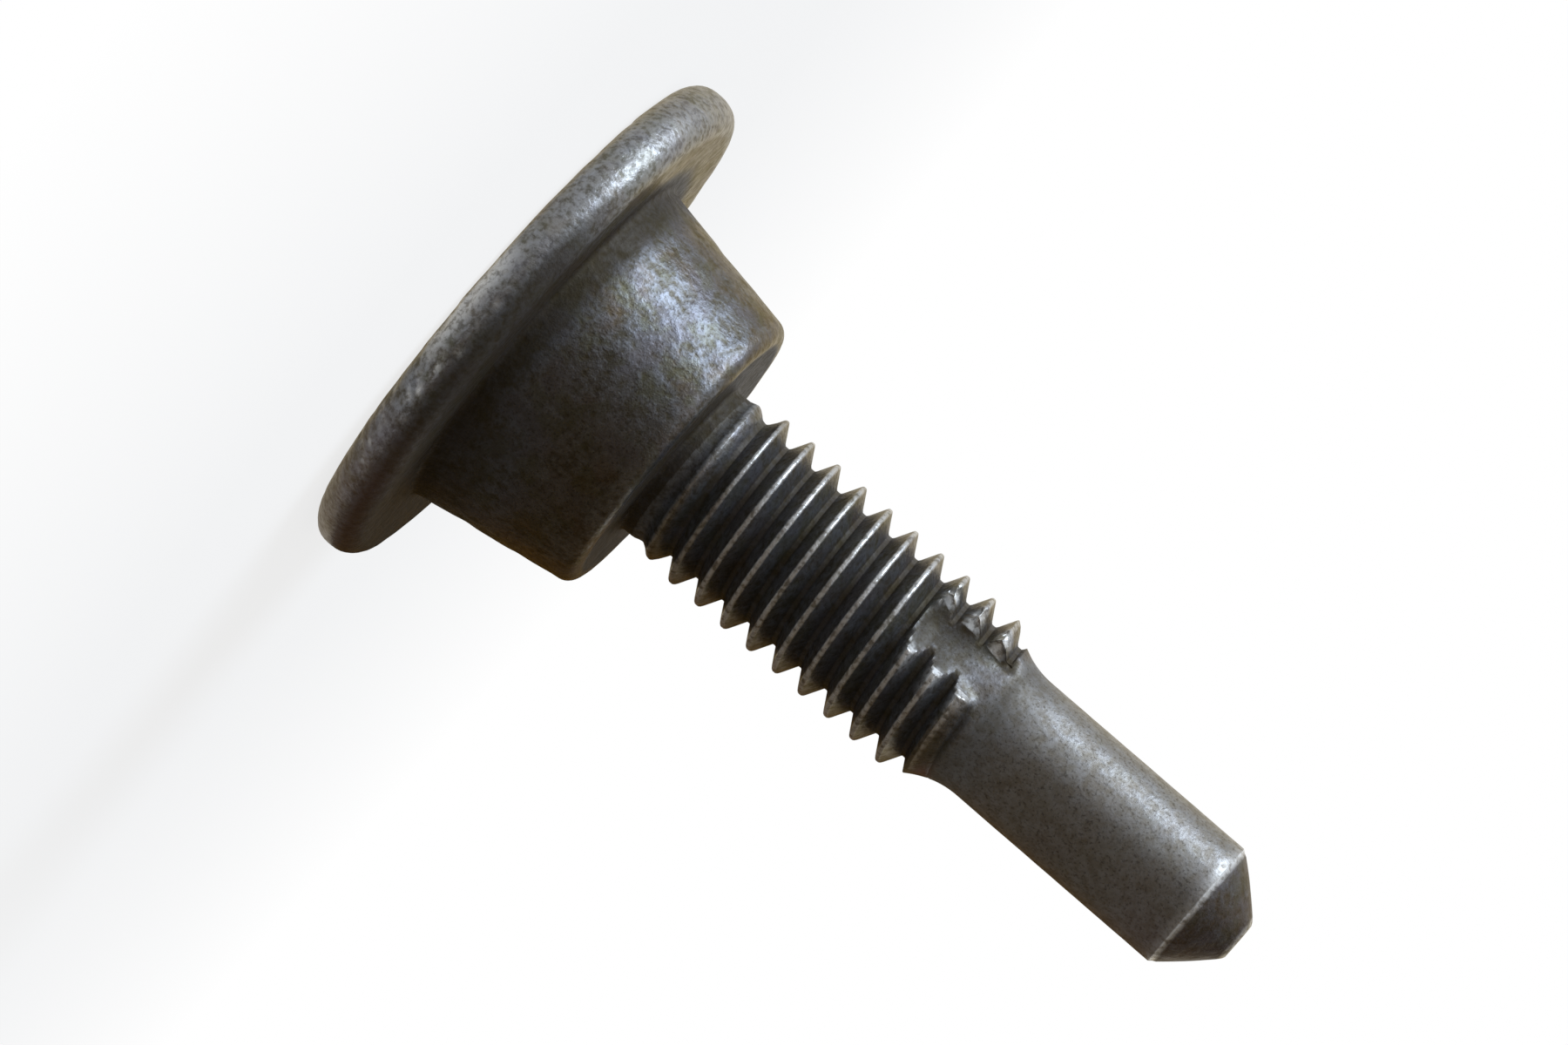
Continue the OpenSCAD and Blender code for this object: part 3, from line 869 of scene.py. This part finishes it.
# The floor lies a hair below the head's face, so that the two don't share a plane
FLOOR_GAP = 0.05 * MM
FLOOR_HALF = 4.0

# The paper glows in part near the screw, and fully past the fade's end
FADE_START = 20 * MM
FADE_END = 80 * MM
NEAR_GLOW = 0.78

KEY_LEAN = math.radians(77)
KEY_ALONG = 0.3
KEY_SIZE = 240 * MM
KEY_DISTANCE = 400 * MM

# The cove's angles are in degrees, and its turn is counted from the camera's direction
COVE_R = 450 * MM
COVE_INNER_R = 11 * MM
COVE_LIFT = 0.5 * MM
COVE_START = -24
COVE_SPAN = 168
COVE_RISE = 106
COVE_STEPS = 14

# The card's corners across and along the screw
CARD_BEHIND = 30 * MM
CARD_CORNERS = ((-0.5 * MM, 0.8 * MM), (-60 * MM, 0.8 * MM), (-60 * MM, 34 * MM), (-0.5 * MM, 34 * MM))


def camera_axes(look):
    """Unit vectors to the camera, and along and across the screw as the camera sees it."""
    a, e = look.azimuth, look.elevation
    back = Vector((math.sin(a) * math.cos(e), -math.cos(a) * math.cos(e), math.sin(e)))
    across = Vector((-math.cos(a), -math.sin(a), 0.0))
    along = Vector((0.0, 0.0, 1.0))
    along = (along - back * along.dot(back)).normalized()
    return back, along, across


def add_camera(look):
    """The camera, rolled so that the screw points down to the picture's right."""
    back, along, across = camera_axes(look)
    c, s = math.cos(look.roll), math.sin(look.roll)
    right = along * c + across * s
    up = across * c - along * s
    data = bpy.data.cameras.new("camera")
    data.lens = look.lens
    data.sensor_width = 36.0
    data.clip_start = 0.01
    data.clip_end = 50.0
    camera = bpy.data.objects.new("camera", data)
    bpy.context.scene.collection.objects.link(camera)
    place = along * look.aim_along + across * look.aim_up + back * look.distance
    camera.matrix_world = Matrix.Translation(place) @ Matrix((right, up, back)).transposed().to_4x4()
    bpy.context.scene.camera = camera


def add_key_light(look, middle):
    """One soft square light, high beside the screw as the camera sees it."""
    back, along, across = camera_axes(look)
    way = (back * math.cos(KEY_LEAN) + across * math.sin(KEY_LEAN) + along * KEY_ALONG).normalized()
    data = bpy.data.lights.new("key_light", "AREA")
    data.shape = "SQUARE"
    data.size = KEY_SIZE
    data.energy = look.key_power
    data.color = look.key
    light = bpy.data.objects.new("key_light", data)
    light.location = middle + way * KEY_DISTANCE
    light.rotation_mode = "QUATERNION"
    light.rotation_quaternion = (-way).to_track_quat("-Z", "Y")
    bpy.context.scene.collection.objects.link(light)


def add_stage_mesh(name, corners, faces, material):
    """A piece of the stage, which isn't part of the screw."""
    mesh = bpy.data.meshes.new(name)
    mesh.from_pydata(corners, [], faces)
    mesh.materials.append(material)
    piece = bpy.data.objects.new(name, mesh)
    bpy.context.scene.collection.objects.link(piece)
    return piece


def add_board(look):
    """A brown wooden cove round the screw's shaded side with a floor in it, and a card behind the screw.
    Only reflections see them."""
    facing = math.atan2(-math.cos(look.azimuth), math.sin(look.azimuth))
    shares = [i / COVE_STEPS for i in range(COVE_STEPS + 1)]
    turns = [facing + math.radians(COVE_START + COVE_SPAN * share) for share in shares]
    rows = [(COVE_INNER_R, 0.0)]
    for share in shares:
        rise = math.radians(COVE_RISE) * share
        rows.append((COVE_R * math.cos(rise), COVE_R * math.sin(rise)))
    corners = [(r * math.cos(turn), r * math.sin(turn), z + COVE_LIFT) for r, z in rows for turn in turns]
    width = len(turns)
    faces = [(i, i + 1, i + 1 + width, i + width) for j in range(len(rows) - 1)
             for i in range(j * width, (j + 1) * width - 1)]
    wood = plain_wood(look)
    board = add_stage_mesh("board", corners, faces, wood)
    back, along, across = camera_axes(look)
    behind = back * -CARD_BEHIND
    corners = [behind + across * side + along * up for side, up in CARD_CORNERS]
    card = add_stage_mesh("card", corners, [(0, 1, 2, 3)], wood)
    for piece in (board, card):
        piece.visible_camera = False
        piece.visible_diffuse = False
        piece.visible_shadow = False


def add_stage(look):
    """The floor under the head, the board, the soft key light, the white room and the camera."""
    size = FLOOR_HALF
    corners = [(x, y, -FLOOR_GAP) for x, y in ((-size, -size), (size, -size), (size, size), (-size, size))]
    add_stage_mesh("floor", corners, [(0, 1, 2, 3)], matt_white_paper(look))
    add_board(look)
    add_key_light(look, Vector((0, 0, CAD_HIGH.z / 2)))
    white_room(look)
    add_camera(look)
    bpy.context.scene.view_settings.view_transform = "Standard"


# Operators and panel

class SCREW_OT_body(bpy.types.Operator):
    """Build the screw's detailed skin over its CAD solid"""

    bl_idname = "screw.body"
    bl_label = "Build Screw"

    def execute(self, context):
        mesh = build_screw_mesh(context.scene.screw_sizes)
        mesh.materials.append(phosphated_steel(context.scene.screw_finish))
        body = bpy.data.objects.new("screw_body", mesh)
        context.scene.collection.objects.link(body)
        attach(body, "root")
        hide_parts(CAD_NODE)
        return {"FINISHED"}


class SCREW_OT_stage(bpy.types.Operator):
    """Set up the floor, the light and the camera"""

    bl_idname = "screw.stage"
    bl_label = "Set Stage"

    def execute(self, context):
        add_stage(context.scene.screw_stage)
        return {"FINISHED"}


class SCREW_PT_panel(bpy.types.Panel):
    """Sizes, finish and stage of the screw"""

    bl_idname = "SCREW_PT_panel"
    bl_label = "Shoulder Screw"
    bl_space_type = "VIEW_3D"
    bl_region_type = "UI"
    bl_category = "Screw"

    def draw(self, context):
        layout = self.layout
        for group in (context.scene.screw_sizes, context.scene.screw_finish, context.scene.screw_stage):
            column = layout.column(align=True)
            for name in group.__annotations__:
                column.prop(group, name)
        layout.operator(SCREW_OT_body.bl_idname)
        layout.operator(SCREW_OT_stage.bl_idname)


CLASSES = (ScrewSizes, ScrewFinish, StageLook, SCREW_OT_body, SCREW_OT_stage, SCREW_PT_panel)


def register():
    for cls in CLASSES:
        bpy.utils.register_class(cls)
    bpy.types.Scene.screw_sizes = PointerProperty(type=ScrewSizes)
    bpy.types.Scene.screw_finish = PointerProperty(type=ScrewFinish)
    bpy.types.Scene.screw_stage = PointerProperty(type=StageLook)


def unregister():
    del bpy.types.Scene.screw_stage
    del bpy.types.Scene.screw_finish
    del bpy.types.Scene.screw_sizes
    for cls in reversed(CLASSES):
        bpy.utils.unregister_class(cls)


def main():
    """Build the screw and its stage."""
    register()
    bpy.ops.screw.body()
    bpy.ops.screw.stage()


if __name__ == "__main__":
    main()
